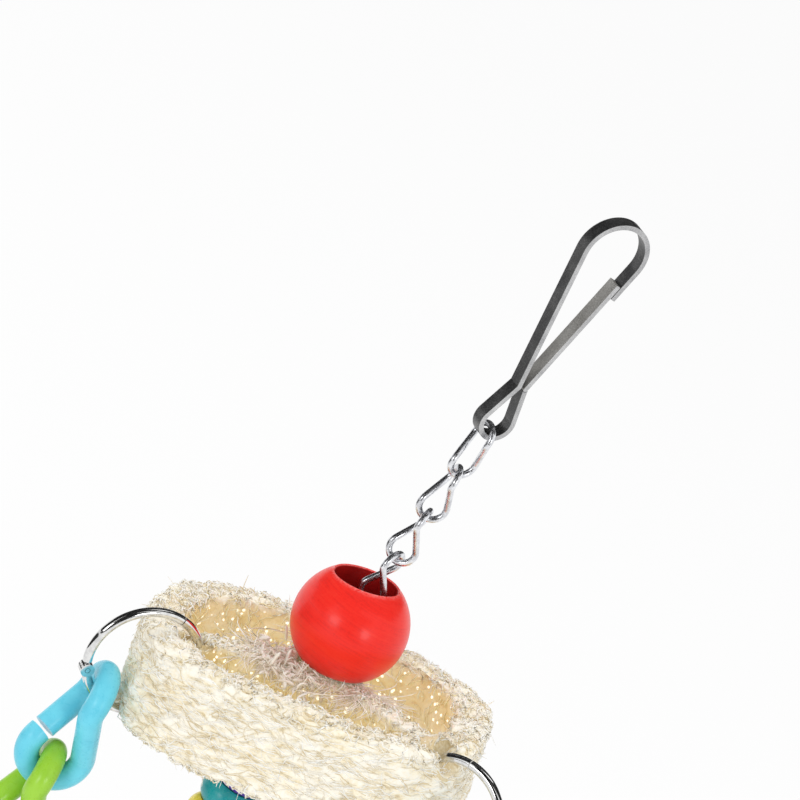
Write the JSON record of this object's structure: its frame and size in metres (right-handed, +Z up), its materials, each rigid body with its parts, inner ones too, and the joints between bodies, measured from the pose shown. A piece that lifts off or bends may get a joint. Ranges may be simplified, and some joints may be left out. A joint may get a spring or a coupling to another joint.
{
  "type": "bird swing",
  "caption": "Hanging bird swing: a snap hook and chain carry a wooden bead, a loofah slice and barrel beads, and strands of plastic links hold the perch.",
  "frame": {"origin": "middle of the hook's crown, on the rod it hangs from", "axes": "+Z up; +X to the right and +Y away from the viewer of the picture"},
  "size_m": [0.0959, 0.0538, 0.206],
  "materials": {
    "hook_steel": "satin nickel",
    "wire_steel": "bright zinc",
    "ring_chrome": "bright nickel",
    "eye_steel": "bright zinc",
    "red_paint": "semi-gloss paint",
    "loofah_fibre": "dry natural fibre",
    "perch_wood": "sanded",
    "blue_plastic": "gloss",
    "green_plastic": "gloss",
    "yellow_plastic": "gloss",
    "purple_plastic": "gloss",
    "teal_plastic": "gloss",
    "orange_plastic": "gloss"
  },
  "bodies": {
    "hook": {"hook_frame": "hook_steel"},
    "gate": {"hook_gate": "hook_steel"},
    "link_1": {"link_1": "wire_steel"},
    "link_2": {"link_2": "wire_steel"},
    "link_3": {"link_3": "wire_steel"},
    "link_4": {"link_4": "wire_steel"},
    "core": {"core_chain": "wire_steel"},
    "bead": {"red_bead": "red_paint"},
    "loofah": {"loofah": "loofah_fibre", "left_ring_base": "ring_chrome", "left_ring_pin": "ring_chrome", "right_ring_base": "ring_chrome", "right_ring_pin": "ring_chrome"},
    "left_arm": {"left_ring_arm": "ring_chrome"},
    "right_arm": {"right_ring_arm": "ring_chrome"},
    "purple": {"purple_bead": "purple_plastic"},
    "teal": {"teal_bead": "teal_plastic"},
    "yellow": {"yellow_bead": "yellow_plastic"},
    "orange": {"orange_bead": "orange_plastic"},
    "stop": {"stop_ring": "wire_steel"},
    "left_1": {"left_clip_1": "blue_plastic"},
    "left_2": {"left_clip_2": "green_plastic"},
    "left_3": {"left_clip_3": "yellow_plastic"},
    "left_4": {"left_clip_4": "purple_plastic"},
    "right_1": {"right_clip_1": "blue_plastic"},
    "right_2": {"right_clip_2": "green_plastic"},
    "right_3": {"right_clip_3": "yellow_plastic"},
    "right_4": {"right_clip_4": "purple_plastic"},
    "perch": {"perch": "perch_wood", "left_eye": "eye_steel", "right_eye": "eye_steel"}
  },
  "joints": [
    {"name": "gate", "type": "hinge", "parent": "hook", "child": "gate", "pos_m": [0.00057, 0.00218, -0.02782], "axis": [0.6428, -0.7646, -0.0468], "range_deg": [0, 12], "stiffness_Nm_per_rad": 0.002},
    {"name": "link_1_swing", "type": "hinge", "parent": "hook", "child": "link_1", "pos_m": [0, 0.00217, -0.03543], "axis": [-0.6428, 0.7646, 0.0468], "range_deg": [-25, 25]},
    {"name": "link_2_swing", "type": "hinge", "parent": "link_1", "child": "link_2", "pos_m": [0, 0.0029, -0.04743], "axis": [0.766, 0.6416, 0.0392], "range_deg": [-25, 25]},
    {"name": "link_3_swing", "type": "hinge", "parent": "link_2", "child": "link_3", "pos_m": [0, 0.0034, -0.05551], "axis": [0.0872, 0.9943, 0.0608], "range_deg": [-25, 25]},
    {"name": "link_4_swing", "type": "hinge", "parent": "link_3", "child": "link_4", "pos_m": [0, 0.00397, -0.06494], "axis": [0.4067, 0.9118, 0.0558], "range_deg": [-25, 25]},
    {"name": "core_swing", "type": "hinge", "parent": "link_4", "child": "core", "pos_m": [0, 0.00455, -0.07438], "axis": [0.1392, 0.9884, 0.0605], "range_deg": [-12, 12]},
    {"name": "loofah_turn", "type": "hinge", "parent": "core", "child": "loofah", "pos_m": [0, 0.00491, -0.08035], "axis": [0, -0.061, 0.9981], "range_deg": [-25, 25]},
    {"name": "bead_turn", "type": "hinge", "parent": "loofah", "child": "bead", "pos_m": [0, 0.00491, -0.08035], "axis": [-0.2334, -0.0594, 0.9706], "continuous": true},
    {"name": "purple_turn", "type": "hinge", "parent": "core", "child": "purple", "pos_m": [0, 0.00809, -0.13232], "axis": [0, -0.061, 0.9981], "continuous": true},
    {"name": "teal_turn", "type": "hinge", "parent": "core", "child": "teal", "pos_m": [0, 0.00809, -0.13232], "axis": [0, -0.061, 0.9981], "continuous": true},
    {"name": "yellow_turn", "type": "hinge", "parent": "core", "child": "yellow", "pos_m": [0, 0.00809, -0.13232], "axis": [0, -0.061, 0.9981], "continuous": true},
    {"name": "orange_turn", "type": "hinge", "parent": "core", "child": "orange", "pos_m": [0, 0.00809, -0.13232], "axis": [0, -0.061, 0.9981], "continuous": true},
    {"name": "stop_swing", "type": "hinge", "parent": "core", "child": "stop", "pos_m": [0, 0.00801, -0.13097], "axis": [0.1392, 0.9884, 0.0605], "range_deg": [-20, 20]},
    {"name": "left_ring_open", "type": "hinge", "parent": "loofah", "child": "left_arm", "pos_m": [-0.03266, -0.01172, -0.10878], "axis": [0.5299, -0.8465, -0.0518], "range_deg": [0, 60]},
    {"name": "right_ring_open", "type": "hinge", "parent": "loofah", "child": "right_arm", "pos_m": [0.04, -0.01442, -0.09886], "axis": [0.342, 0.9379, 0.0574], "range_deg": [0, 60]},
    {"name": "swing", "type": "hinge", "parent": "loofah", "child": "left_1", "pos_m": [-0.02884, -0.0091, -0.11261], "axis": [0.9871, -0.0542, 0.1507], "range_deg": [-12, 12]},
    {"name": "fold", "type": "hinge", "parent": "left_1", "child": "left_2", "pos_m": [-0.02884, -0.008, -0.13058], "axis": [0.9871, -0.0542, 0.1507], "range_deg": [-10, 10]},
    {"name": "kick", "type": "hinge", "parent": "left_2", "child": "left_3", "pos_m": [-0.02884, -0.00694, -0.14785], "axis": [0.9871, -0.0542, 0.1507], "range_deg": [-10, 10]},
    {"name": "sway", "type": "hinge", "parent": "left_3", "child": "left_4", "pos_m": [-0.02884, -0.00617, -0.16042], "axis": [0, 0.9981, 0.061], "range_deg": [-15, 15]},
    {"name": "perch_sway", "type": "hinge", "parent": "left_4", "child": "perch", "pos_m": [-0.02939, -0.005, -0.17913], "axis": [0, 0.9981, 0.061], "range_deg": [-15, 15]},
    {"name": "right_swing", "type": "hinge", "parent": "loofah", "child": "right_1", "pos_m": [0.03576, -0.01264, -0.10274], "axis": [0.9871, -0.0542, 0.1507], "range_deg": [-12, 12]},
    {"name": "right_fold", "type": "hinge", "parent": "right_1", "child": "right_2", "pos_m": [0.03576, -0.01154, -0.12071], "axis": [0.9871, -0.0542, 0.1507], "range_deg": [-10, 10]},
    {"name": "right_kick", "type": "hinge", "parent": "right_2", "child": "right_3", "pos_m": [0.03576, -0.01049, -0.13798], "axis": [0.9871, -0.0542, 0.1507], "range_deg": [-10, 10]},
    {"name": "right_sway", "type": "hinge", "parent": "right_3", "child": "right_4", "pos_m": [0.03576, -0.00972, -0.15056], "axis": [0, 0.9981, 0.061], "range_deg": [-15, 15]}
  ],
  "couplings": [
    {"joint": "perch_sway", "follows": "sway", "ratio": -1},
    {"joint": "right_swing", "follows": "swing", "ratio": 1},
    {"joint": "right_fold", "follows": "fold", "ratio": 1},
    {"joint": "right_kick", "follows": "kick", "ratio": 1},
    {"joint": "right_sway", "follows": "sway", "ratio": 1}
  ]
}
